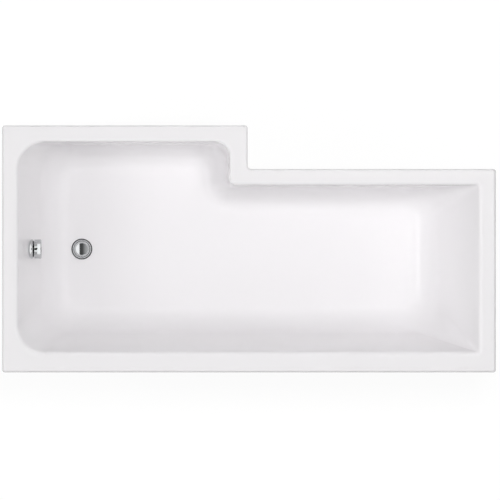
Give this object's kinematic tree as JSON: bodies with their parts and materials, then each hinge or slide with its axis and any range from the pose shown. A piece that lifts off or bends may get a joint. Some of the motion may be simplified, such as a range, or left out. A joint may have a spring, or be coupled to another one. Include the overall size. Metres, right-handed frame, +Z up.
{
  "type": "l-shaped shower bath",
  "caption": "White L-shaped shower bath with a wide showering end, sloping backrest, knob-worked pop-up waste and overflow, on levelling feet.",
  "frame": {"origin": "floor level under the middle of the rim's overall rectangle", "axes": "+X towards the sloping end, +Y towards the stepped front, +Z up; the wall side is -Y and the showering end is -X"},
  "size_m": [1.7, 0.85, 0.55],
  "materials": {
    "white_acrylic": "high gloss",
    "softwood": "sawn",
    "chipboard": "raw board",
    "zinc_steel": "zinc plated",
    "foot_plastic": "moulded",
    "bright_chrome": "polished",
    "plain_brass": "turned",
    "white_plastic": "moulded",
    "black_rubber": "matt",
    "grey_plastic": "extruded"
  },
  "bodies": {
    "bath": {"base_board": "chipboard", "bath_shell": "white_acrylic", "cable_nut_lower": "grey_plastic", "cable_nut_upper": "grey_plastic", "centre_bracket": "zinc_steel", "centre_bracket_screws": "zinc_steel", "control_cable": "grey_plastic", "hose_nut_lower": "white_plastic", "hose_nut_upper": "white_plastic", "leg_rail_slope": "zinc_steel", "leg_rail_tap": "zinc_steel", "lock_nuts_centre": "zinc_steel", "lock_nuts_slope_front": "zinc_steel", "lock_nuts_slope_wall": "zinc_steel", "lock_nuts_tap_front": "zinc_steel", "lock_nuts_tap_wall": "zinc_steel", "overflow_body": "white_plastic", "overflow_flange": "bright_chrome", "overflow_hose": "white_plastic", "overflow_seal": "black_rubber", "rail_screws": "zinc_steel", "rim_batten_narrow": "softwood", "rim_batten_slope": "softwood", "rim_batten_step": "softwood", "rim_batten_tap": "softwood", "rim_batten_wall": "softwood", "rim_batten_wide": "softwood", "rocker_pin": "zinc_steel", "stem_guide": "white_plastic", "wall_bracket_left": "zinc_steel", "wall_bracket_right": "zinc_steel", "wall_bracket_screws": "zinc_steel", "wall_bracket_tap": "zinc_steel", "waste_body": "white_plastic", "waste_body_seal": "black_rubber", "waste_flange": "bright_chrome", "waste_flange_seal": "black_rubber"},
    "knob": {"overflow_knob": "bright_chrome", "knob_spindle": "plain_brass"},
    "plug": {"plug_cap": "bright_chrome", "plug_seal": "black_rubber", "plug_stem": "plain_brass"},
    "lift_rocker": {"rocker": "white_plastic"},
    "cable_rod": {"push_rod": "plain_brass"},
    "foot_tap_wall": {"foot_stem_tap_wall": "zinc_steel", "foot_pad_tap_wall": "foot_plastic"},
    "foot_tap_front": {"foot_stem_tap_front": "zinc_steel", "foot_pad_tap_front": "foot_plastic"},
    "foot_slope_wall": {"foot_stem_slope_wall": "zinc_steel", "foot_pad_slope_wall": "foot_plastic"},
    "foot_slope_front": {"foot_stem_slope_front": "zinc_steel", "foot_pad_slope_front": "foot_plastic"},
    "foot_centre": {"foot_stem_centre": "zinc_steel", "foot_pad_centre": "foot_plastic"}
  },
  "joints": [
    {"name": "knob_turn", "type": "hinge", "parent": "bath", "child": "knob", "pos_m": [-0.75238, 0, 0.38], "axis": [1, 0, 0], "range_deg": [0, 120]},
    {"name": "plug_lift", "type": "slide", "parent": "bath", "child": "plug", "axis": [0, 0, 1], "range_m": [0, 0.01004]},
    {"name": "rocker_turn", "type": "hinge", "parent": "bath", "child": "lift_rocker", "pos_m": [-0.578, -0.014, 0.104], "axis": [1, 0, 0], "range_deg": [0, 42.01]},
    {"name": "rod_slide", "type": "slide", "parent": "bath", "child": "cable_rod", "axis": [0, 1, 0], "range_m": [0, 0.00768]},
    {"name": "level_tap_wall", "type": "slide", "parent": "bath", "child": "foot_tap_wall", "axis": [0, 0, 1], "range_m": [-0.02, 0.015]},
    {"name": "level_tap_front", "type": "slide", "parent": "bath", "child": "foot_tap_front", "axis": [0, 0, 1], "range_m": [-0.02, 0.015]},
    {"name": "level_slope_wall", "type": "slide", "parent": "bath", "child": "foot_slope_wall", "axis": [0, 0, 1], "range_m": [-0.02, 0.015]},
    {"name": "level_slope_front", "type": "slide", "parent": "bath", "child": "foot_slope_front", "axis": [0, 0, 1], "range_m": [-0.02, 0.015]},
    {"name": "level_centre", "type": "slide", "parent": "bath", "child": "foot_centre", "axis": [0, 0, 1], "range_m": [-0.02, 0.015]}
  ],
  "couplings": [
    {"joint": "plug_lift", "follows": "knob_turn", "m_per_rad": 0.004791},
    {"joint": "rocker_turn", "follows": "knob_turn", "ratio": 0.35},
    {"joint": "rod_slide", "follows": "knob_turn", "m_per_rad": 0.0036656}
  ]
}
